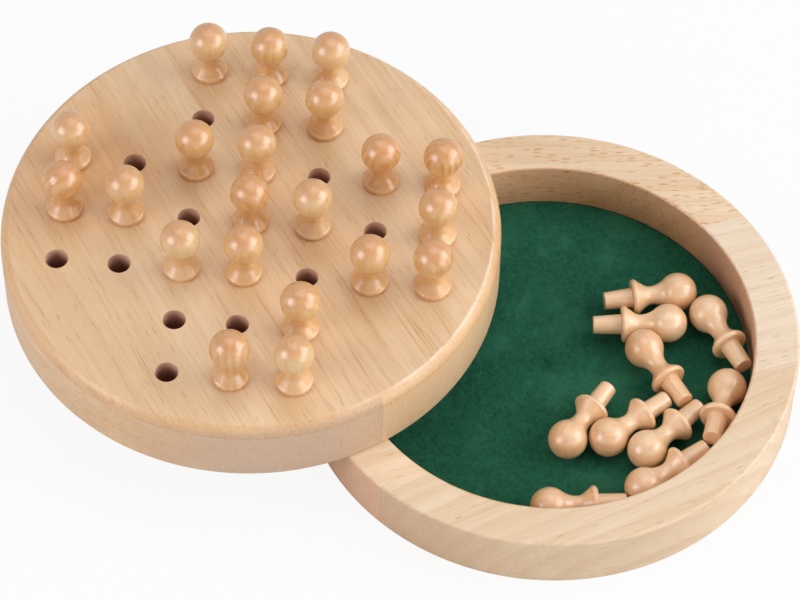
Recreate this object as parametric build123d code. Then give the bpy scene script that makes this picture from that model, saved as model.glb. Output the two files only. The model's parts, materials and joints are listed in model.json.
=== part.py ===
from build123d import *
from cmath import rect
from math import asin, cos, degrees, radians, sin, tan
import os

# Peg solitaire set: a round board that swivels on a round tray for the pegs out of play.
# Millimetres. The origin is the middle of the tray's underside, and Z is up.
# The board is modelled swung open. A heading is an angle from +X towards +Y.

# Tray, a ring glued up from four arcs round a thin base
disc_radius = 90.0
tray_height = 23.8
rim_wall = 16.0
rim_easing = 1.0
foot_chamfer = 0.5
base_thickness = 3.0
rebate_width = 2.5
base_clearance = 0.1
felt_thickness = 0.7
felt_clearance = 0.2
rim_seam_heading = 20.0
back_seam = 25.6
front_seam = 41.9

# Board, two staves glued side by side
board_thickness = 27.0
edge_width = 2.9
edge_depth = 4.5
edge_bulge = 0.6
stave_seam_heading = 118.6
stave_seam = 6.6
hole_pitch = 22.4
hole_grid_heading = -4.1
hole_radius = 4.1
hole_spare_depth = 1.7

# Pivot screw, through the middle of the rim's wall and into the board
pivot_heading = 118.7
open_angle = 85.8
pivot_clearance = 0.05
screw_shank_radius = 2.2
screw_tip_radius = 1.9
screw_bite = 12.0
screw_head_radius = 4.1
screw_head_edge = 0.6
screw_recess = 1.0
slot_width = 1.0
slot_depth = 1.0

# Turned peg, measured along its axis from the underside of its collar
head_radius = 7.1
head_height = 17.1
neck_radius = 3.4
neck_height = 7.1
neck_hollow = 3.8
flare_angle = 36.9
collar_radius = 6.75
collar_shoulder = 0.35
lip_height = 1.3
lip_easing = 0.3
shank_clearance = 0.4
shank_taper = 0.45
shank_length = 10.3
shank_chamfer = 0.4

# The game in play, back row first, with P for a peg and o for an empty hole
game = [
    "  PPP  ",
    "  oPP  ",
    "PoPPoPP",
    "PPoPPoP",
    "ooPPoPP",
    "  ooP  ",
    "  oPP  ",
]

# Loose pegs in the tray: head's x and y as shares of the tray's bore, heading of the shank, and how far
# its tip is raised in degrees. A peg with less than pile_touch of room, seen from above, is nudged until
# it has pile_room, so that each can be lifted straight out.
loose_pegs = [
    (0.642, 0.3716, -171.0, 0.0),
    (0.5946, 0.1824, -178.0, 0.0),
    (0.7905, 0.2432, -64.0, 6.0),
    (0.473, 0.027, -59.0, 3.5),
    (0.0878, -0.5068, 57.0, 0.0),
    (0.2905, -0.4932, 39.0, 0.0),
    (0.473, -0.5608, 45.0, 0.0),
    (0.4527, -0.7703, 35.0, 6.0),
    (0.0, -0.8919, 6.0, 0.0),
    (0.8649, -0.1892, -105.0, 14.0),
]
loose_gap = 0.3
pile_touch = 0.25
pile_room = 0.4

tray_bore = disc_radius - rim_wall
felt_top = base_thickness + felt_thickness
hole_depth = shank_length + hole_spare_depth
shank_radius = hole_radius - shank_clearance
pivot_radius = disc_radius - rim_wall / 2
pivot = Vector(pivot_radius, 0, 0).rotate(Axis.Z, pivot_heading)
board_middle = pivot - pivot.rotate(Axis.Z, -open_angle)
board_place = Pos(board_middle.X, board_middle.Y, tray_height)


def beyond(heading, offset):
    """The space to the left of a line with this heading, this far from the axis."""
    reach = 4 * disc_radius
    side = (Align.CENTER, Align.MIN, Align.CENTER)
    return Rot(0, 0, heading) * Pos(0, offset, 0) * Box(reach, reach, reach, align=side)


def screw_room(clearance):
    """The countersunk outline of the screw from the rim's underside to the top of the rim."""
    head = screw_head_radius + clearance
    shank = screw_shank_radius + clearance
    cone_foot = screw_recess + screw_head_edge
    cone_top = cone_foot + head - shank
    outline = Polyline(
        (0, 0),
        (head, 0),
        (head, cone_foot),
        (shank, cone_top),
        (shank, tray_height),
        (0, tray_height),
        close=True,
    )
    return revolve(Plane.XZ * make_face(outline), Axis.Z)


def rim_ring():
    """The whole ring with its eased edges and the rebate that takes the base."""
    rebate_radius = tray_bore + rebate_width
    outline = Polyline(
        (rebate_radius, 0),
        (disc_radius, 0),
        (disc_radius, tray_height),
        (tray_bore, tray_height),
        (tray_bore, base_thickness),
        (rebate_radius, base_thickness),
        close=True,
    )
    section = make_face(outline)
    section = fillet(section.vertices().group_by(Axis.Y)[-1], rim_easing)
    section = chamfer(section.vertices().group_by(Axis.Y)[0].sort_by(Axis.X)[-1], foot_chamfer)
    return revolve(Plane.XZ * section, Axis.Z)


def rim_arcs():
    """The four arcs that the two seam lines cut the ring into."""
    ring = rim_ring()
    behind = beyond(rim_seam_heading, back_seam)
    before = beyond(rim_seam_heading + 180, front_seam)
    left, right = (ring - behind - before).solids().sort_by(Axis.X)
    countersink = Pos(pivot.X, pivot.Y, 0) * screw_room(pivot_clearance)
    return {
        "rim_back": (ring & behind) - countersink,
        "rim_left": left,
        "rim_right": right,
        "rim_front": ring & before,
    }


def tray_base():
    """The thin round base, let in flush from below."""
    radius = tray_bore + rebate_width - base_clearance
    return Cylinder(radius, base_thickness, align=(Align.CENTER, Align.CENTER, Align.MIN))


def felt_liner():
    """The round of felt laid on the base."""
    radius = tray_bore - felt_clearance
    disc = Cylinder(radius, felt_thickness, align=(Align.CENTER, Align.CENTER, Align.MIN))
    return Pos(0, 0, base_thickness) * disc


def pivot_screw():
    """The screw that the board turns on, seen only from below."""
    shaft = screw_room(0)
    below = Box(4 * screw_head_radius, 4 * screw_head_radius, 2 * screw_recess)
    slot_height = 2 * (screw_recess + slot_depth)
    slot = Rot(0, 0, pivot_heading) * Box(4 * screw_head_radius, slot_width, slot_height)
    tip = Cylinder(screw_tip_radius, screw_bite, align=(Align.CENTER, Align.CENTER, Align.MIN))
    screw = shaft - below - slot + Pos(0, 0, tray_height) * tip
    return Pos(pivot.X, pivot.Y, 0) * screw


def hole_places():
    """Each hole's row, column and place on the board's top, with what the game has there."""
    middle = len(game) // 2
    turn = Rot(0, 0, hole_grid_heading)
    for row, line in enumerate(game):
        for column, mark in enumerate(line):
            if mark != " ":
                spot = Pos((column - middle) * hole_pitch, (middle - row) * hole_pitch, board_thickness)
                yield row + 1, column + 1, mark, turn * spot


def board_blank():
    """The plain disc, with the shallow rounded bevel round its top."""
    bevel_width = disc_radius - edge_width
    bevel_foot = board_thickness - edge_depth
    across = Vector(edge_depth, edge_width).normalized() * edge_bulge
    bulge = Vector(disc_radius - edge_width / 2, board_thickness - edge_depth / 2) + across
    outline = Polyline((bevel_width, board_thickness), (0, board_thickness), (0, 0), (disc_radius, 0))
    outline += Line((disc_radius, 0), (disc_radius, bevel_foot))
    outline += ThreePointArc((disc_radius, bevel_foot), bulge, (bevel_width, board_thickness))
    section = make_face(outline)
    section = chamfer(section.vertices().group_by(Axis.Y)[0].sort_by(Axis.X)[-1], foot_chamfer)
    return revolve(Plane.XZ * section, Axis.Z)


def board_staves():
    """The drilled board, cut along its glue line."""
    drill = Cylinder(hole_radius, hole_depth, align=(Align.CENTER, Align.CENTER, Align.MAX))
    board = board_blank() - [place * drill for _, _, _, place in hole_places()]
    pilot_radius = screw_tip_radius + pivot_clearance
    pilot = Cylinder(pilot_radius, screw_bite, align=(Align.CENTER, Align.CENTER, Align.MIN))
    board = board_place * board - Pos(pivot.X, pivot.Y, tray_height) * pilot
    seam_side = Pos(board_middle.X, board_middle.Y, 0) * beyond(stave_seam_heading, -stave_seam)
    return {
        "board_stave_left": board & seam_side,
        "board_stave_right": board - seam_side,
    }


def flare_ends():
    """Where the flare's straight part starts below the neck, and where it ends at the collar's shoulder."""
    flare = radians(flare_angle)
    top = Vector(neck_radius + neck_hollow * (1 - cos(flare)), neck_height - neck_hollow * sin(flare))
    shoulder_radius = collar_radius - collar_shoulder
    return top, Vector(shoulder_radius, top.Y - (shoulder_radius - top.X) / tan(flare))


def turned_peg():
    """A peg standing on its collar's underside: ball head, hollow neck, flared collar and shank."""
    rise = head_height - neck_height
    hollow = (rise**2 + neck_radius**2 - head_radius**2) / (2 * (head_radius - neck_radius))
    join = head_radius / (head_radius + hollow)
    chin = (join * (neck_radius + hollow), head_height - join * rise)
    neck = (neck_radius, neck_height)
    flare_top, shoulder = flare_ends()
    lip_top = (collar_radius, lip_height)
    crown = (0, head_height + head_radius)
    outline = ThreePointArc(crown, (head_radius, head_height), chin)
    outline += TangentArc(neck, chin, tangent=(0, 1))
    outline += TangentArc(neck, flare_top, tangent=(0, -1))
    outline += Line(flare_top, shoulder)
    outline += TangentArc(lip_top, shoulder, tangent=(0, 1))
    outline += Polyline(
        lip_top,
        (collar_radius, lip_easing),
        (collar_radius - lip_easing, 0),
        (shank_radius, 0),
        (shank_radius - shank_taper, shank_chamfer - shank_length),
        (shank_radius - shank_taper - shank_chamfer, -shank_length),
        (0, -shank_length),
        crown,
    )
    return revolve(Plane.XZ * make_face(outline), Axis.Z)


def board_pegs(peg):
    """The pegs in play, each standing in its hole with its collar on the board."""
    pegs = {}
    for row, column, mark, place in hole_places():
        if mark == "P":
            pegs[f"board_peg_row{row}_col{column}"] = board_place * place * peg
    return pegs


def seen_from_above(heading, raised):
    """Circles that fill a lying peg's outline, each by its middle, seen from the head's, and its radius."""
    lip = lip_height / 2
    tip = shank_radius - shank_taper - shank_chamfer
    circles = [(0, 0, head_radius), (head_height - neck_height, 0, neck_radius)]
    flare_top, shoulder = flare_ends()
    for share in (0.15, 0.5, 0.85):
        edge = flare_top + (shoulder - flare_top) * share
        across = edge.X - lip_height * cos(radians(flare_angle))
        along = head_height - edge.Y + lip_height * sin(radians(flare_angle))
        circles += [(along, side * across, lip_height) for side in (-1, 1)]
    for share in (-1, -0.5, 0, 0.5, 1):
        circles.append((head_height - lip, share * (collar_radius - lip), lip))
    for share in (0.2, 0.4, 0.6):
        circles.append((head_height + share * shank_length, 0, shank_radius - share * shank_taper))
    for side in (-1, 1):
        circles.append((head_height + shank_length - shank_chamfer, side * tip, shank_chamfer))
    flat = cos(radians(raised))
    turn = rect(1, radians(heading))
    return [(complex(along * flat, across) * turn, radius) for along, across, radius in circles]


def settled_heads():
    """Where the loose pegs' heads lie, once pegs that touch each other or the wall are nudged clear."""
    heads = [complex(x, y) * tray_bore for x, y, _, _ in loose_pegs]
    plans = [seen_from_above(heading, raised) for _, _, heading, raised in loose_pegs]
    for _ in range(500):
        still = True
        for first, plan in enumerate(plans):
            circles = [(heads[first] + spot, radius) for spot, radius in plan]
            spot, radius = max(circles, key=lambda circle: abs(circle[0]) + circle[1])
            room = tray_bore - abs(spot) - radius
            if room < pile_touch:
                heads[first] -= spot / abs(spot) * (pile_room - room)
                still = False
            for second in range(first):
                between = heads[second] - heads[first]
                ways = [(between + b - a, p + q) for a, p in plan for b, q in plans[second]]
                way, reach = min(ways, key=lambda pair: abs(pair[0]) - pair[1])
                room = abs(way) - reach
                if room < pile_touch:
                    nudge = way / abs(way) * (pile_room - room) / 2
                    heads[first] -= nudge
                    heads[second] += nudge
                    still = False
        if still:
            break
    return heads


def tray_pegs(peg):
    """The pegs out of play, lying on the felt on head and collar, some with the tip raised."""
    lip_middle = (lip_easing + lip_height) / 2
    lying = degrees(asin((collar_radius - head_radius) / (head_height - lip_middle)))
    pegs = {}
    for number, (place, (_, _, heading, raised)) in enumerate(zip(settled_heads(), loose_pegs), 1):
        up_the_peg = Vector(-1, 0, 0).rotate(Axis.Y, -lying - raised).rotate(Axis.Z, heading)
        head = Vector(place.real, place.imag, felt_top + loose_gap + head_radius)
        foot = head - up_the_peg * head_height
        pegs[f"loose_peg_{number}"] = Plane(origin=foot, z_dir=up_the_peg).location * peg
    return pegs


peg = turned_peg()
nodes = {
    **rim_arcs(),
    "tray_base": tray_base(),
    "felt_liner": felt_liner(),
    "pivot_screw": pivot_screw(),
    **board_staves(),
    **board_pegs(peg),
    **tray_pegs(peg),
}

os.makedirs("parts", exist_ok=True)
for name, shape in nodes.items():
    export_step(shape, f"parts/{name}.step")
print(len(nodes), "nodes; the board's middle is at", board_middle, "and the pivot at", pivot)
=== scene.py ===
import bpy
import bmesh
import json
import math
import numpy as np
from mathutils import Matrix, Vector


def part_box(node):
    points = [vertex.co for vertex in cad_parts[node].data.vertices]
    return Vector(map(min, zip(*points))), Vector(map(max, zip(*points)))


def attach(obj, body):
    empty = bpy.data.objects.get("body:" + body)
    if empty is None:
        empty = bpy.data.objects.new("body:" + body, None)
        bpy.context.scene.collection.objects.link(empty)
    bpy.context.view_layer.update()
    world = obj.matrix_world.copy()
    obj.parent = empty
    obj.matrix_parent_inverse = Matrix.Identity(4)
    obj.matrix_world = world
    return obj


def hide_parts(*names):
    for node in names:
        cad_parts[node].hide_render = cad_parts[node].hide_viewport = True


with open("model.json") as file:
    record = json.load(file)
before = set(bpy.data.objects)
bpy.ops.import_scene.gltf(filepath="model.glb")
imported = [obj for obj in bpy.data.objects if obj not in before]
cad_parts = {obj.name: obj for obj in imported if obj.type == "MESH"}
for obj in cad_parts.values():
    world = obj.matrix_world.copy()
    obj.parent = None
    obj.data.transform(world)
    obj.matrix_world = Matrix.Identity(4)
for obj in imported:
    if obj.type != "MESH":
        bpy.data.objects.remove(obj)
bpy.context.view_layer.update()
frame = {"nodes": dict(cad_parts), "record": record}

mm = 0.001
nodes = frame["nodes"]
bodyOf = {node: body for body, members in frame["record"]["behaviour"]["bodies"].items() for node in members}
print("frame loaded:", len(nodes), "nodes")


class Socket:
    # one output of a shader node, which sums, products and comparisons turn into Math nodes
    def __init__(self, tree, output):
        self.tree = tree
        self.output = output

    # any node: settings are set first, then the values or links of its sockets
    def node(self, kind, settings=None, values=None, output=0):
        made = self.tree.nodes.new(kind)
        for name, value in (settings or {}).items():
            setattr(made, name, value)
        for name, value in (values or {}).items():
            if isinstance(value, Socket):
                self.tree.links.new(value.output, made.inputs[name])
            else:
                made.inputs[name].default_value = value
        return Socket(self.tree, made.outputs[output])

    # another output of the same node
    def other(self, output):
        return Socket(self.tree, self.output.node.outputs[output])

    # a colour to start from, given as it is seen on a screen
    def plainColour(self, levels):
        made = self.node("ShaderNodeRGB")
        made.output.default_value = seen(*levels)
        return made

    # this value put through a Math node, with a second value where the operation takes two
    def maths(self, operation, second=0.0):
        return self.node("ShaderNodeMath", {"operation": operation}, {0: self, 1: second})

    def __add__(self, other):
        return self.maths("ADD", other)

    def __sub__(self, other):
        return self.maths("SUBTRACT", other)

    def __rsub__(self, other):
        return self.node("ShaderNodeMath", {"operation": "SUBTRACT"}, {0: other, 1: self})

    def __mul__(self, other):
        return self.maths("MULTIPLY", other)

    def __gt__(self, other):
        return self.maths("GREATER_THAN", other)

    def __lt__(self, other):
        return self.maths("LESS_THAN", other)

    __radd__ = __add__
    __rmul__ = __mul__

    # the root of the sum of the squares of this value and another one
    def hypotenuse(self, other):
        return (self * self + other * other).maths("SQRT")

    # 0 below low, 1 above high, and a smooth slope between them
    def ramp(self, low, high):
        settings = {"interpolation_type": "SMOOTHSTEP"}
        return self.node("ShaderNodeMapRange", settings, {"Value": self, "From Min": low, "From Max": high})

    # a smooth slope up from low to full and another one down from fading to high
    def band(self, low, full, fading, high):
        return self.ramp(low, full) * (1 - self.ramp(fading, high))

    # the three numbers of this vector
    def split(self):
        first = self.node("ShaderNodeSeparateXYZ", {}, {"Vector": self})
        return first, first.other("Y"), first.other("Z")

    # this vector stretched by three numbers
    def stretched(self, x, y, z):
        return self.node("ShaderNodeVectorMath", {"operation": "MULTIPLY"}, {0: self, 1: (x, y, z)})

    # cloud noise around 0.5 on this vector
    def noise(self, scale=1.0, detail=2.0, roughness=0.5, distortion=0.0):
        values = {"Vector": self, "Scale": scale, "Detail": detail, "Roughness": roughness, "Distortion": distortion}
        return self.node("ShaderNodeTexNoise", {}, values)

    # this colour with another one, a socket or the levels seen on a screen, laid over it by a mask; the Mix node has
    # sockets of one name for each kind of data, and those for colours are 6, 7 and, for the result, 2
    def over(self, other, mask, mode="MIX"):
        laid = other if isinstance(other, Socket) else seen(*other)
        settings = {"data_type": "RGBA", "blend_type": mode}
        return self.node("ShaderNodeMix", settings, {0: mask, 6: self, 7: laid}, 2)


# linear colour, as the shader wants it, from the 0 to 255 values seen on a screen
def seen(red, green, blue):
    levels = np.array([red, green, blue]) / 255
    linear = np.where(levels <= 0.04045, levels / 12.92, ((levels + 0.055) / 1.055) ** 2.4)
    return (*linear.tolist(), 1.0)


# a new material: gives its principled shader and a first socket, the piece's own coordinates in millimetres
def newMaterial(name, constants, attribute=None):
    material = bpy.data.materials.new(name)
    material.use_nodes = True
    tree = material.node_tree
    shader = tree.nodes["Principled BSDF"]
    for socket, value in constants.items():
        shader.inputs[socket].default_value = value
    start = Socket(tree, None)
    if attribute:
        place = start.node("ShaderNodeAttribute", {"attribute_name": attribute}, output="Vector")
    else:
        place = start.node("ShaderNodeTexCoord", output="Object")
    return material, shader, place.stretched(1 / mm, 1 / mm, 1 / mm)


def plug(shader, links):
    tree = shader.id_data
    for name, socket in links.items():
        tree.links.new(socket.output, shader.inputs[name])


# small relief: a Bump node on a height between about 0 and 1, which stands for a depth in millimetres
def relief(shader, height, depth):
    bump = height.node("ShaderNodeBump", {}, {"Strength": 1.0, "Distance": depth * mm, "Height": height})
    plug(shader, {"Normal": bump})


woodPatterns = {   # cycles per millimetre along the fibres and across them, then the noise's detail and roughness
    "wobble": (0.010, 0.035, 2.0, 0.5),
    "broad": (0.006, 0.045, 3.0, 0.55),
    "belts": (0.012, 0.16, 2.0, 0.5),
    "fibres": (0.03, 0.8, 4.0, 0.6),
    "hairs": (0.09, 2.6, 2.0, 0.6),
    "streaks": (0.011, 0.55, 3.0, 0.6),
}


# wood, worked out in the solid so that sides and ends show the end grain; x runs along the fibres, in millimetres:
# growth rings are circles round a distant pith, pores are long thin specks that gather in belts
def wood(along, look):
    drawn = {}
    for name, (lengthwise, crosswise, detail, roughness) in woodPatterns.items():
        drawn[name] = along.stretched(lengthwise, crosswise, crosswise).noise(1.0, detail, roughness)
    across, depth = along.split()[1:]
    reach = (across + look["pith"][0]).hypotenuse(depth + look["pith"][1])
    ring = reach * (1 / look["ringPitch"]) + drawn["wobble"] * (look["ringWander"] / look["ringPitch"])
    late = ring.maths("FRACT").band(0.25, 0.85, 0.88, 1.0)   # a year's wood darkens slowly and ends at once
    cells = along.stretched(1 / look["poreLength"], 1 / look["poreGap"], 1 / look["poreGap"])
    spot = cells.node("ShaderNodeTexVoronoi", {"feature": "F1"}, {"Vector": cells, "Scale": 1.0})
    chosen = spot.node("ShaderNodeSeparateColor", {}, {"Color": spot.other("Color")})
    pores = (1 - spot.ramp(look["poreSize"] * 0.45, look["poreSize"])) * chosen.ramp(0.3, 0.9)
    pores = pores * (drawn["belts"].ramp(look["belt"], look["belt"] + 0.15) * 0.85 + 0.15)   # few between the belts
    veins = drawn["streaks"].band(0.585, 0.61, 0.615, 0.64) * drawn["broad"].ramp(0.35, 0.6)   # thin level lines
    colour = along.plainColour(look["pale"])
    colour = colour.over(look["warm"], drawn["broad"].ramp(0.3, 0.7))
    colour = colour.over(look["ring"], late * look["ringStrength"])
    colour = colour.over(look["fibre"], drawn["fibres"].ramp(0.42, 0.75) * look["fibreStrength"])
    colour = colour.over(look["fibre"], drawn["hairs"].ramp(0.5, 0.75) * (look["fibreStrength"] * 0.6))
    colour = colour.over(look["vein"], veins * look["veinStrength"])
    colour = colour.over(look["pore"], pores * look["poreStrength"])
    return colour, pores, drawn["fibres"]


# coordinates turned about Z so that x runs along the grain's heading, in degrees
def alongGrain(place, heading, shift=(0, 0, 0)):
    values = {"Vector": place, "Rotation": (0, 0, math.radians(-heading)), "Location": shift}
    return place.node("ShaderNodeMapping", {"vector_type": "POINT"}, values)


tray = {"bore": 74.0, "felt": 3.7, "top": 23.8}   # inner radius, heights of the felt and of the rim, millimetres
rimLook = {
    "pale": (237, 213, 183), "warm": (230, 200, 165), "ring": (220, 185, 146), "fibre": (211, 173, 133),
    "pore": (172, 124, 84), "pith": (150.0, 60.0), "ringWander": 7.0, "ringPitch": 6.2, "ringStrength": 0.35,
    "fibreStrength": 0.4, "poreLength": 7.0, "poreGap": 0.7, "poreSize": 0.3, "belt": 0.42, "poreStrength": 0.6,
    "vein": (196, 148, 104), "veinStrength": 0.4, "endGrain": (200, 166, 134), "endSpeck": (160, 124, 98),
    "endStrength": 0.6, "rawTone": (255, 224, 202), "raw": 1.0, "gloss": 0.42, "coat": 0.1,
}
rimArcs = {   # grain heading of each arc, in degrees, a shift that gives each its own piece of timber, its own tones
    "rim_back": (2.0, (0, 0, 0), {"pore": (204, 148, 94), "poreLength": 5.0, "poreGap": 0.95, "poreSize": 0.46,
                                  "belt": 0.3, "poreStrength": 0.85}),
    "rim_left": (18.0, (210, 40, 9), {"endGrain": (206, 152, 118), "endSpeck": (180, 124, 92)}),
    "rim_right": (18.0, (90, 130, 30), {"pale": (234, 217, 193), "warm": (229, 207, 181), "ring": (219, 193, 163),
                                        "rawTone": (255, 206, 180), "raw": 0.6}),
    "rim_front": (27.0, (330, 260, 55), {"pale": (229, 206, 176), "warm": (221, 194, 160), "ring": (208, 174, 136),
                                         "endGrain": (200, 163, 128)}),
}
baseLook = dict(rimLook, pale=(226, 200, 160), warm=(216, 186, 146), poreStrength=0.3, gloss=0.5, coat=0.0)
boardLook = {
    "pale": (229, 198, 159), "warm": (221, 181, 136), "ring": (213, 171, 126), "fibre": (205, 161, 115),
    "pore": (150, 98, 62), "pith": (190.0, 40.0), "ringWander": 5.0, "ringPitch": 8.5, "ringStrength": 0.28,
    "fibreStrength": 0.46, "poreLength": 10.0, "poreGap": 0.62, "poreSize": 0.23, "belt": 0.37, "poreStrength": 0.65,
    "vein": (178, 122, 78), "veinStrength": 0.55, "endGrain": (203, 172, 146), "endSpeck": (164, 130, 106),
    "endStrength": 0.8, "gloss": 0.4, "coat": 0.3,
    "radius": 90.0, "edgeWidth": 2.9, "edgeDepth": 4.5, "edgeTone": (254, 246, 236),
    "rubbed": (250, 232, 214), "rubbedDepth": 1.4, "rubbedFrom": (25.0, 70.0), "rubbedStrength": 0.5,
    "edgeLine": (168, 122, 82), "edgeLineStrength": 0.3,
    "patchTone": (240, 218, 192), "patchShift": (56, -20, 0), "patchFade": (22.0, 60.0), "patchRagged": 30.0,
}
boardStaves = {   # as for the arcs; the right one has slightly shorter pores and paler end grain
    "board_stave_left": (-61.0, (0, 0, 0), {}),
    "board_stave_right": (-59.0, (150, 310, 42), {
        "poreLength": 9.0, "poreGap": 0.7, "poreSize": 0.22, "belt": 0.36, "endGrain": (228, 192, 152),
        "endSpeck": (184, 142, 104), "endStrength": 0.65,
    }),
}
boardHoles = {   # millimetres and degrees; slack is added to the radius, reach is how far out there are holes; the wall colour is partly friction burn and partly painted shade, and the foot colour is painted shade at the bottom
    "pitch": 22.4, "turn": -4.1, "radius": 4.1, "depth": 12.0, "reach": 78.0, "slack": 0.4,
    "rim": (222, 180, 158), "foot": (140, 88, 72),
}


# how squarely the surface cuts the fibres: 0 along them, 1 at the end of a stave
def endOn(place, heading):
    normal = place.node("ShaderNodeTexCoord", output="Normal")
    fibre = (math.cos(math.radians(heading)), math.sin(math.radians(heading)), 0.0)
    facing = normal.node("ShaderNodeVectorMath", {"operation": "DOT_PRODUCT"}, {0: normal, 1: fibre}, "Value")
    return facing.maths("ABSOLUTE")


# distance from the Z axis of these coordinates
def fromMiddle(place):
    x, y, z = place.split()
    return x.hypotenuse(y)


# coordinates in the board's own hole grid, from the middle of its top, in millimetres
def inHoleGrid(place):
    left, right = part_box("board_stave_left"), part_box("board_stave_right")
    low = [min(left[0][k], right[0][k]) / mm for k in range(3)]
    high = [max(left[1][k], right[1][k]) / mm for k in range(3)]
    middle = ((low[0] + high[0]) / 2, (low[1] + high[1]) / 2, high[2])
    centred = place.node("ShaderNodeVectorMath", {"operation": "SUBTRACT"}, {0: place, 1: middle})
    return alongGrain(centred, boardHoles["turn"])


# 1 on the walls and the foot of the drilled holes, and how deep the point lies below the top, from 0 to 1
def insideHoles(grid):
    x, y, z = grid.split()
    halfPitch = boardHoles["pitch"] / 2
    away = x.maths("PINGPONG", halfPitch).hypotenuse(y.maths("PINGPONG", halfPitch))
    sunk, depth = z * -1.0, boardHoles["depth"]
    mask = (away < boardHoles["radius"] + boardHoles["slack"]) * sunk.ramp(0.0, 0.25) * (sunk < depth + 0.3)
    return mask * (fromMiddle(grid) < boardHoles["reach"]), sunk.ramp(-1.0, depth - 2.0)


# wood with its fibres along a heading, in degrees: end grain where the surface cuts them squarely, then the piece's
# own dressing, a function that gives a new colour from the place, the colour and the look
def flatWood(name, look, heading, shift, dress=None):
    material, shader, place = newMaterial(name, {"Coat Weight": look["coat"], "Coat Roughness": 0.24})
    colour, pores, fibres = wood(alongGrain(place, heading, shift), look)
    ended = endOn(place, heading).ramp(0.5, 0.95) * look["endStrength"]
    speckle = place.noise(1.3, 3.0, 0.7)
    colour = colour.over(look["endGrain"], ended)
    colour = colour.over(look["endSpeck"], ended * speckle.ramp(0.5, 0.72) * 0.8)
    if dress:
        colour = dress(place, colour, look)
    plug(shader, {"Base Color": colour, "Roughness": look["gloss"] + pores * 0.2 + fibres * 0.08})
    relief(shader, 1 - pores * 0.8 - fibres * 0.2, 0.05)
    return material


# the tray's inner wall is multiplied browner: partly its own tone, partly painted shade, which is strongest near the
# felt
def innerWallToneAndShade(place, colour, look):
    height = place.split()[2]
    # painted shade: the multiply is strongest at the felt and weakens towards the rim's top
    raw = (fromMiddle(place) < tray["bore"] + 0.4) * (1.1 - height.ramp(tray["felt"], tray["top"]) * 0.4)
    return colour.over(look["rawTone"], raw * look["raw"], "MULTIPLY")


# the moulded edge's band is darkened as painted shade; a patch at the back left is deeper, partly stain and partly
# painted shade of the pegs; a painted highlight runs along the moulded edge at the right where it starts, and a
# painted shade line lies where it ends; the walls of the drilled holes are brown, partly from friction and partly as
# painted shade that deepens towards their foot
def boardDress(place, colour, look):
    grid = inHoleGrid(place)
    right, back, up = grid.split()
    sunk = up * -1.0
    away = fromMiddle(grid)
    start, end = look["radius"] - look["edgeWidth"], look["edgeDepth"]
    # painted shade: the moulded edge's band is multiplied darker because it faces away from the light above
    mouldedShade = away.ramp(start - 0.2, start + 0.3) * (sunk < end)
    colour = colour.over(look["edgeTone"], mouldedShade, "MULTIPLY")
    # a patch at the back left is multiplied deeper: partly uneven stain, partly painted shade where the pegs' shadows
    # fall
    patch = fromMiddle(alongGrain(grid, 0.0, look["patchShift"])) + grid.noise(0.05, 3.0) * look["patchRagged"]
    colour = colour.over(look["patchTone"], 1 - patch.ramp(*look["patchFade"]), "MULTIPLY")
    # painted highlight: a pale line along the start of the moulded edge on the right, where the lamp's reflection lies
    rubbed = away.band(start - 0.9, start + 0.1, start + 0.1, start + 1.0) * (sunk < look["rubbedDepth"])
    rubbed = rubbed * grid.noise(0.12, 3.0, 0.6).ramp(0.34, 0.6) * right.ramp(*look["rubbedFrom"])
    colour = colour.over(look["rubbed"], rubbed * look["rubbedStrength"])
    # painted shade: a dark line in the crease where the moulded edge meets the side
    creaseShade = sunk.band(end - 0.45, end, end, end + 0.35) * (away > look["radius"] - 10.0)
    colour = colour.over(look["edgeLine"], creaseShade * look["edgeLineStrength"])
    # the hole walls take the rim colour, partly friction burn and partly painted shade, and darken to the foot colour
    # as painted shade
    mask, depth = insideHoles(grid)
    burntAndShaded = colour.over(boardHoles["rim"], 0.8).over(boardHoles["foot"], depth)
    return colour.over(burntAndShaded, mask)


cadCopy = {   # lengths in millimetres, the area in square millimetres, angles in degrees, slopes as a normal's Z
    "mergeWithin": 0.002, "flatWithin": 0.05, "lowestWithin": 0.001, "levelFrom": 0.999, "uprightTo": 0.01,
    "gluedArea": 200.0, "sharpFrom": 25.0, "squareFrom": 45.0, "segments": 3,
}


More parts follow.
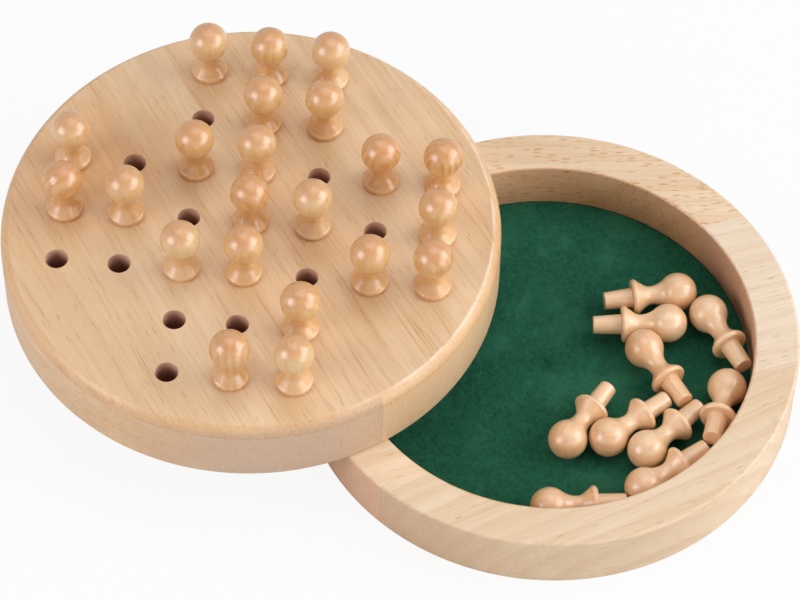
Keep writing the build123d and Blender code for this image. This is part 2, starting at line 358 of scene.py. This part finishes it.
# a copy of a CAD piece, merged, its flat faces joined, its sharp edges eased and its curved walls smooth; an obtuse
# edge can be blunter, and air under the piece keeps it out of the plane of the piece that it slides on
def easedCopy(node, material, ease, blunt=None, air=0.0):
    mesh = nodes[node].data.copy()
    tool = bmesh.new()
    tool.from_mesh(mesh)
    bmesh.ops.remove_doubles(tool, verts=tool.verts, dist=cadCopy["mergeWithin"] * mm)
    flatWithin = math.radians(cadCopy["flatWithin"])
    bmesh.ops.dissolve_limit(tool, angle_limit=flatWithin, verts=tool.verts, edges=tool.edges)
    lowest = min(vert.co.z for vert in tool.verts) + cadCopy["lowestWithin"] * mm
    for vert in tool.verts:
        vert.co.z += air * (vert.co.z < lowest)
    glued = set()   # the upright ends where one piece of wood is glued to the next
    for face in tool.faces:
        face.smooth = abs(face.normal.z) < cadCopy["levelFrom"]
        if abs(face.normal.z) < cadCopy["uprightTo"] and face.calc_area() > cadCopy["gluedArea"] * mm * mm:
            glued.add(face)
    weights = tool.edges.layers.float.new("bevel_weight_edge")
    for edge in tool.edges:   # the glued ends stay sharp, so that no groove opens at a seam
        bend = math.degrees(edge.calc_face_angle()) if edge.is_manifold else 0.0
        if bend > cadCopy["sharpFrom"] and glued.intersection(edge.link_faces):
            edge.smooth = False
        elif bend > cadCopy["sharpFrom"]:
            edge[weights] = ease / blunt if blunt and bend > cadCopy["squareFrom"] else 1.0
    tool.to_mesh(mesh)
    tool.free()
    mesh.materials.clear()
    mesh.materials.append(material)
    piece = bpy.data.objects.new(node + "_finished", mesh)
    bpy.context.scene.collection.objects.link(piece)
    bevel = piece.modifiers.new("eased edges", "BEVEL")
    bevel.width = blunt or ease
    bevel.segments = cadCopy["segments"]
    bevel.limit_method = "WEIGHT"
    bevel.harden_normals = True
    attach(piece, bodyOf[node])
    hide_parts(node)
    return piece


for node, (heading, shift, own) in rimArcs.items():
    timber = flatWood(node + " timber", {**rimLook, **own}, heading, shift, innerWallToneAndShade)
    easedCopy(node, timber, ease=0.15 * mm)
for node, (heading, shift, own) in boardStaves.items():
    timber = flatWood(node + " timber", {**boardLook, **own}, heading, shift, boardDress)
    easedCopy(node, timber, ease=0.35 * mm, blunt=1.3 * mm, air=0.05 * mm)
easedCopy("tray_base", flatWood("base plywood", baseLook, 0.0, (20, 700, 3)), ease=0.1 * mm)
print("rim, board and base made")


def meshPiece(name, points, faces):
    mesh = bpy.data.meshes.new(name)
    mesh.from_pydata(points.tolist(), [], faces)
    mesh.validate()
    mesh.shade_smooth()
    piece = bpy.data.objects.new(name, mesh)
    bpy.context.scene.collection.objects.link(piece)
    return piece


# the faces of a closed skin of rings with equally many points: four corners from each ring to the next, and a fan of
# three corners round a pole at either end; the two poles are the points that follow the last ring
def ringFaces(rings, sides):
    step = np.arange(sides)
    following = (step + 1) % sides
    ring = (np.arange(rings - 1) * sides)[:, None]
    quads = np.stack([ring + step, ring + sides + step, ring + sides + following, ring + following], -1)
    firstPole, lastPole, last = rings * sides, rings * sides + 1, (rings - 1) * sides
    faces = quads.reshape(-1, 4).tolist()
    faces += np.stack([np.full(sides, firstPole), step, following], -1).tolist()
    faces += np.stack([np.full(sides, lastPole), last + following, last + step], -1).tolist()
    return faces


felt = {
    "deep": (16, 66, 50), "mid": (33, 98, 72), "light": (64, 134, 104), "speck": (150, 190, 165),
    "sheen": (120, 190, 150), "rings": 90, "sides": 180, "napHeight": 0.25 * mm, "seed": 4,
}


# the felt: its top is a grid of rings and spokes that dips by chance, up to the nap's height, and its edge drops
# straight to the outer ring of the underside
def makeFelt():
    low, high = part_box("felt_liner")
    radius = (high.x - low.x) / 2
    chance = np.random.default_rng(felt["seed"])
    share = np.linspace(0, 1, felt["rings"] + 1)[1:]
    turn = np.arange(felt["sides"]) * 2 * math.pi / felt["sides"]
    rr, tt = np.meshgrid(share * radius, turn, indexing="ij")
    nap = chance.random(rr.shape) * felt["napHeight"]
    nap[-1] = felt["napHeight"]
    top = np.stack([rr * np.cos(tt), rr * np.sin(tt), high.z - nap], -1).reshape(-1, 3)
    foot = np.stack([radius * np.cos(turn), radius * np.sin(turn), np.full_like(turn, low.z)], -1)
    points = np.vstack([top, foot, [[0, 0, high.z - felt["napHeight"] / 2]], [[0, 0, low.z]]])
    return meshPiece("felt_round", points, ringFaces(felt["rings"] + 1, felt["sides"]))


def feltMaterial():
    material, shader, place = newMaterial("green felt", {
        "Roughness": 0.95, "Specular IOR Level": 0.1, "Sheen Weight": 0.12, "Sheen Roughness": 0.5,
        "Sheen Tint": seen(*felt["sheen"]),
    })
    cloudy = place.noise(0.05, 4.0, 0.6)
    mottle = place.noise(0.7, 6.0, 0.75)
    hairs = place.stretched(1.0, 2.2, 1.0).noise(2.4, 4.0, 0.75, 1.2)
    specks = place.noise(1.9, 2.0).ramp(0.66, 0.76)
    scuffs = place.stretched(0.5, 0.12, 1.0).noise(1.0, 4.0, 0.7, 0.8).ramp(0.56, 0.74)
    colour = place.plainColour(felt["mid"])
    colour = colour.over(felt["deep"], mottle.ramp(0.42, 0.68))
    colour = colour.over(felt["light"], cloudy.ramp(0.45, 0.70) * 0.45)
    colour = colour.over(felt["light"], hairs.ramp(0.5, 0.75))
    colour = colour.over(felt["light"], scuffs * 0.35)
    colour = colour.over(felt["speck"], specks * 0.3)
    plug(shader, {"Base Color": colour})
    relief(shader, hairs * 0.7 + mottle * 0.6, 0.5)
    return material


feltRound = makeFelt()
feltRound.data.materials.append(feltMaterial())
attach(feltRound, "tray")
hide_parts("felt_liner")
print("felt laid")


peg = {   # the turner's pattern, in millimetres above the collar's underside
    "headRadius": 7.1, "headHeight": 17.1, "neckRadius": 3.4, "neckHeight": 7.1, "neckHollow": 3.8,
    "flareAngle": 36.9, "collarRadius": 6.7, "bead": 1.35, "beadHeight": 1.2,
    "shankRadius": 3.7, "shankTaper": 0.45, "shankLength": 10.3, "shankChamfer": 0.4, "shankRoot": 0.15,
    "tipRounding": 0.12, "dimpleRadius": 1.9, "dimpleDepth": 0.14, "sides": 64, "sharpFrom": 20.0, "seed": 11,
    "grainAhead": 3.0, "grainAside": 0.008,   # how far the timber may be moved for each peg, in metres
    "tones": {"board_peg_row5_col3": 0.0, "board_peg_row7_col5": 0.12},   # the two palest pegs
}


# points on a circular arc from one angle to another, in degrees about its centre
def arc(centreR, centreZ, radius, start, end, count):
    turn = np.radians(np.linspace(start, end, count))
    return np.stack([centreR + radius * np.cos(turn), centreZ + radius * np.sin(turn)], -1)


# the peg's outline from crown to shank end, as radius and height: arcs that run into each other, then the shank; the
# hollow over the neck touches the ball, so that the squared sum of their two radii is the squared drop from the ball's
# centre to the hollow's plus the squared distance of the hollow's centre from the axis
def pegOutline():
    head, neck = peg["headRadius"], peg["neckRadius"]
    drop = peg["headHeight"] - peg["neckHeight"]
    hollow = (drop ** 2 + neck ** 2 - head ** 2) / (2 * (head - neck))
    chin = math.degrees(math.atan2(-drop, neck + hollow))
    flare = math.radians(peg["flareAngle"])
    throat = peg["neckHollow"]
    flareTop = (neck + throat * (1 - math.cos(flare)), peg["neckHeight"] - throat * math.sin(flare))
    ball = arc(0, peg["headHeight"], head, 90, chin, 44)
    ball[0, 0] = 0.0
    # a shallow ring is turned into the crown, deepest halfway out to the dimple's radius
    dimple = np.clip(1 - ball[:, 0] / peg["dimpleRadius"], 0, 1)
    ball[:, 1] -= peg["dimpleDepth"] * dimple * (1 - dimple) * 4
    upper = arc(neck + hollow, peg["neckHeight"], hollow, 180 + chin, 180, 12)[1:]
    lower = arc(neck + throat, peg["neckHeight"], throat, 180, 180 + peg["flareAngle"], 10)[1:]
    # the lip is a round bead, and the flare's straight slope runs into its circle: rise is how far above the bead's
    # middle, the larger root of (gap - slope * rise) squared plus rise squared equal to the bead's radius squared
    slope, bead = math.tan(flare), peg["bead"]
    centre = peg["collarRadius"] - bead
    gap = flareTop[0] + (flareTop[1] - peg["beadHeight"]) * slope - centre
    steep = 1 + slope ** 2
    rise = (gap * slope + math.sqrt(gap ** 2 * slope ** 2 - steep * (gap ** 2 - bead ** 2))) / steep
    meeting, foot = math.degrees(math.asin(rise / bead)), -math.degrees(math.asin(peg["beadHeight"] / bead))
    rounded = arc(centre, peg["beadHeight"], bead, meeting, foot, 14)
    shank, tip, end = peg["shankRadius"], peg["shankRadius"] - peg["shankTaper"], -peg["shankLength"]
    straight = np.array([
        (shank + peg["shankRoot"], 0.0),
        (shank, -peg["shankRoot"]),
        (tip, peg["shankChamfer"] + end),
        (tip - peg["tipRounding"], peg["tipRounding"] + end),
        (tip - peg["shankChamfer"], end),
        (0.0, end),
    ])
    return np.vstack([ball, upper, lower, rounded, straight])


# where a peg's CAD solid stands: four-cornered blocks from the mesh's middle to each triangle add up to the solid's
# volume, centre and spread; the axis is the way in which it spreads furthest, and its far end is the shank's tip
def pegStand(node):
    mesh = nodes[node].data
    points = np.empty(len(mesh.vertices) * 3, np.float32)
    mesh.vertices.foreach_get("co", points)
    points = points.reshape(-1, 3).astype(float)
    mesh.calc_loop_triangles()
    corners = np.empty(len(mesh.loop_triangles) * 3, np.int32)
    mesh.loop_triangles.foreach_get("vertices", corners)
    middle = points.mean(0)
    a, b, c = (points[corners.reshape(-1, 3)[:, k]] - middle for k in range(3))
    volume = np.einsum("ij,ij->i", a, np.cross(b, c)) / 6
    total = a + b + c
    centre = (volume[:, None] * total / 4).sum(0) / volume.sum()
    spread = sum(np.einsum("i,ij,ik->jk", volume, side, side) for side in (a, b, c, total))
    spread = spread / 20 - volume.sum() * np.outer(centre, centre)
    axis = np.linalg.eigh(spread)[1][:, -1]
    reach = (points - middle - centre) @ axis
    if reach.max() > -reach.min():
        axis, reach = -axis, -reach
    tip = middle + centre + axis * reach.min()
    return tip + axis * peg["shankLength"] * mm, axis


# a number, or three, at every point of a piece, for its material to read
def mark(piece, name, values, kind="FLOAT", key="value"):
    layer = piece.data.attributes.new(name, kind, "POINT")
    layer.data.foreach_set(key, values.astype(np.float32).ravel())


# the outline carried round the axis: ring by ring, with the crown and the shank's end closed by a point
def makePeg(node, chance):
    outline = pegOutline() * mm
    foot, axis = pegStand(node)
    side = np.cross(axis, [0.31, 0.95, 0.02])   # a way that no peg points
    side = side / np.linalg.norm(side)
    turn = np.arange(peg["sides"]) * 2 * math.pi / peg["sides"] + chance.random() * 6.28   # from any side
    radius, height = outline[1:-1, 0][:, None], outline[1:-1, 1][:, None]
    lathe = np.stack([radius * np.cos(turn), radius * np.sin(turn), height + 0 * turn], -1).reshape(-1, 3)
    lathe = np.vstack([lathe, [[0, 0, outline[0, 1]]], [[0, 0, outline[-1, 1]]]])
    points = foot + lathe @ np.stack([side, np.cross(axis, side), axis])
    piece = meshPiece(node + "_turned", points, ringFaces(len(outline) - 2, peg["sides"]))
    # the lathe's own coordinates, fibres along x, moved and turned by chance so that no two pegs match
    spin = chance.uniform(0, 2 * math.pi)
    along = lathe[:, 2] + chance.uniform(0, peg["grainAhead"])
    across = lathe[:, 0] * math.cos(spin) - lathe[:, 1] * math.sin(spin)
    across = across + chance.uniform(-peg["grainAside"], peg["grainAside"])
    depth = lathe[:, 0] * math.sin(spin) + lathe[:, 1] * math.cos(spin)
    mark(piece, "pegGrain", np.stack([along, across, depth], -1), "FLOAT_VECTOR", "vector")
    mark(piece, "pegTone", np.full(len(points), peg["tones"].get(node, chance.random())))
    mark(piece, "latheHeight", (lathe[:, 2] - lathe[:, 2].min()) / np.ptp(lathe[:, 2]))
    sharpRings(piece)
    return piece


# the collar's lower edge and the shank's root and tip stay crisp
def sharpRings(piece):
    bpy.context.view_layer.objects.active = piece
    piece.select_set(True)
    bpy.ops.object.shade_smooth_by_angle(angle=math.radians(peg["sharpFrom"]))
    piece.select_set(False)


# honey under lacquer on the board, plain sanded wood in the tray; straw and amber are the odd pegs out; amber laid
# over the crown is painted shade on the top of the head, and the warm colour over the lower half is painted light
pegLooks = {
    "peg_wood_lacquered": {
        "pale": (223, 187, 131), "warm": (216, 172, 112), "ring": (197, 140, 78), "fibre": (200, 146, 86),
        "pore": (160, 98, 50), "pith": (15.0, 4.0), "ringWander": 4.0, "ringPitch": 2.6, "ringStrength": 0.75,
        "fibreStrength": 0.45, "poreLength": 6.0, "poreGap": 0.8, "poreSize": 0.24, "belt": 0.45,
        "poreStrength": 0.3, "vein": (190, 124, 66), "veinStrength": 0.35, "crown": 0.7, "straw": (232, 207, 164),
        "amber": (201, 132, 66), "neckPaintedLight": (222, 168, 108), "neckPaintedLightStrength": 0.45, "gloss": 0.42,
        "coatIndex": 1.66, "scatter": 0.45, "scatterReach": 2.5, "scatterTone": (1.0, 0.8, 0.5),
    },
    "peg_wood_plain": {
        "pale": (236, 201, 160), "warm": (229, 184, 138), "ring": (216, 164, 114), "fibre": (213, 161, 113),
        "pore": (170, 112, 72), "pith": (24.0, 0.0), "ringWander": 3.0, "ringPitch": 2.6, "ringStrength": 0.4,
        "fibreStrength": 0.3, "poreLength": 6.0, "poreGap": 0.8, "poreSize": 0.24, "belt": 0.45,
        "poreStrength": 0.3, "vein": (206, 152, 104), "veinStrength": 0.35, "crown": 0.3, "straw": (243, 215, 178),
        "amber": (216, 156, 104), "neckPaintedLight": (240, 200, 154), "neckPaintedLightStrength": 0.3, "gloss": 0.42,
        "coatIndex": 1.58, "scatter": 0.2, "scatterReach": 2.0, "scatterTone": (1.0, 0.7, 0.4),
    },
}


def pegMaterial(slotName):
    look = pegLooks[slotName]
    material, shader, place = newMaterial(slotName + " finish", {
        "Coat Weight": 1.0, "Coat Roughness": 0.22, "Coat IOR": look["coatIndex"],
        "Subsurface Weight": look["scatter"], "Subsurface Scale": look["scatterReach"] * mm,
        "Subsurface Radius": look["scatterTone"],
    }, "pegGrain")
    tone = place.node("ShaderNodeAttribute", {"attribute_name": "pegTone"}, output="Fac")
    turned = place.node("ShaderNodeAttribute", {"attribute_name": "latheHeight"}, output="Fac")
    colour, pores, fibres = wood(place, dict(look, ringStrength=tone.ramp(0.35, 1.0) * look["ringStrength"] + 0.12))
    clouds = place.stretched(0.05, 0.14, 0.14).noise(1.0, 3.0, 0.6)
    colour = colour.over(look["straw"], (1 - tone.ramp(0.0, 0.35)) * 0.45)
    colour = colour.over(look["amber"], tone.ramp(0.55, 1.0) * 0.2 + clouds.ramp(0.5, 0.72) * 0.4)
    # painted light: the lower half of the peg, neck and collar, is made lighter and warmer
    colour = colour.over(look["neckPaintedLight"], (1 - turned.ramp(0.45, 0.9)) * look["neckPaintedLightStrength"])
    # painted shade: amber laid over the top of the head darkens the crown
    colour = colour.over(look["amber"], turned.ramp(0.86, 1.0) * look["crown"])
    toolMarks = (turned * 430.0).maths("SINE")   # fine rings that the turning tool left
    plug(shader, {"Base Color": colour, "Roughness": look["gloss"] + pores * 0.15 + fibres * 0.1})
    relief(shader, toolMarks * 0.04 - pores * 0.5 + fibres * 0.6, 0.03)
    return material


pegFinishes = {slotName: pegMaterial(slotName) for slotName in pegLooks}
chance = np.random.default_rng(peg["seed"])
for node in sorted(nodes):
    if "peg" in node:
        slotName = "peg_wood_lacquered" if node.startswith("board_peg") else "peg_wood_plain"
        piece = makePeg(node, chance)
        piece.data.materials.append(pegFinishes[slotName])
        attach(piece, bodyOf[node])
        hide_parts(node)
print("pegs turned")


screwLook = {"steel": (190, 191, 193), "scratch": (140, 138, 135), "gloss": 0.24}


def screwMaterial():
    material, shader, place = newMaterial("screw steel", {"Metallic": 1.0})
    scratches = place.stretched(0.4, 6.0, 6.0).noise(2.0, 3.0, 0.6)
    colour = place.plainColour(screwLook["steel"]).over(screwLook["scratch"], scratches.ramp(0.4, 0.75))
    plug(shader, {"Base Color": colour, "Roughness": screwLook["gloss"] + scratches * 0.25})
    relief(shader, scratches, 0.02)
    return material


easedCopy("pivot_screw", screwMaterial(), ease=0.08 * mm)
print("screw set")


room = {
    "floor": (230, 230, 230), "floorReach": 6.0, "whitening": 0.9, "sky": 0.3, "middle": (-0.055, 0.015, 0.03),
    "lamps": {   # direction, distance and width in metres, power in watts, colour
        "window right": ((0.85, 0.0, 0.52), 1.3, 0.95, 10.8, (0.97, 0.98, 1.0)),
        "window left": ((-0.80, -0.42, 0.45), 1.3, 0.75, 7.3, (1.0, 0.96, 0.99)),
        "wall in front": ((0.78, -0.58, 0.26), 1.6, 1.00, 7.2, (1.0, 1.0, 1.0)),
        "ceiling": ((0.1, 0.25, 1.0), 1.6, 1.20, 6.3, (1.0, 1.0, 1.0)),
    },
}


def makeFloor():
    corners = np.array([[-1, -1, 0], [1, -1, 0], [1, 1, 0], [-1, 1, 0]]) * room["floorReach"]
    piece = meshPiece("floor", corners, [[0, 1, 2, 3]])
    material, shader, place = newMaterial("pale floor", {"Roughness": 0.9, "Base Color": seen(*room["floor"])})
    # the camera sees the floor nearer to white than it is, with the object's shadow still on it
    rays = place.node("ShaderNodeLightPath", output="Is Camera Ray")
    white = place.node("ShaderNodeEmission", {}, {"Strength": 1.0})
    lit = Socket(material.node_tree, shader.outputs["BSDF"])
    shown = place.node("ShaderNodeMixShader", {}, {0: rays * room["whitening"], 1: lit, 2: white})
    material.node_tree.links.new(shown.output, material.node_tree.nodes["Material Output"].inputs["Surface"])
    piece.data.materials.append(material)


# a soft square lamp, facing the middle of the set
def makeLamp(name, direction, distance, width, power, colour):
    light = bpy.data.lights.new(name, "AREA")
    light.shape = "SQUARE"
    light.size = width
    light.energy = power
    light.color = colour
    lamp = bpy.data.objects.new(name, light)
    towards = Vector(direction).normalized()
    lamp.location = Vector(room["middle"]) + towards * distance
    lamp.rotation_euler = towards.to_track_quat("Z", "Y").to_euler()
    bpy.context.scene.collection.objects.link(lamp)


# white where the camera, a reflection or clear glass sees it, and a dimmer light on everything else
def makeWorld():
    world = bpy.data.worlds.new("studio")
    bpy.context.scene.world = world
    world.use_nodes = True
    tree = world.node_tree
    sky = tree.nodes["Background"]
    path = Socket(tree, None).node("ShaderNodeLightPath", output="Is Camera Ray")
    seenAs = path.maths("MAXIMUM", path.other("Is Glossy Ray")).maths("MAXIMUM", path.other("Is Transmission Ray"))
    strength = seenAs * (1 - room["sky"]) + room["sky"]
    tree.links.new(strength.output, sky.inputs["Strength"])
    sky.inputs["Color"].default_value = (1, 1, 1, 1)


makeFloor()
makeWorld()
for lampName, lampFacts in room["lamps"].items():
    makeLamp(lampName, *lampFacts)

view = {   # the photograph's view: where the camera stands, how far down it looks and its slight lean
    "place": (-0.0543, -0.7959, 1.1806), "down": 55.03, "lean": 0.92, "lens": 175.26, "sensor": 36.0,
}
camera = bpy.data.cameras.new("camera")
camera.lens = view["lens"]
camera.sensor_width = view["sensor"]
cameraPiece = bpy.data.objects.new("camera", camera)
aim = Matrix.Rotation(math.radians(90 - view["down"]), 4, "X") @ Matrix.Rotation(math.radians(view["lean"]), 4, "Z")
cameraPiece.matrix_world = Matrix.Translation(view["place"]) @ aim
bpy.context.scene.collection.objects.link(cameraPiece)
bpy.context.scene.camera = cameraPiece
bpy.context.scene.view_settings.view_transform = "Standard"

print("lamps and camera set")
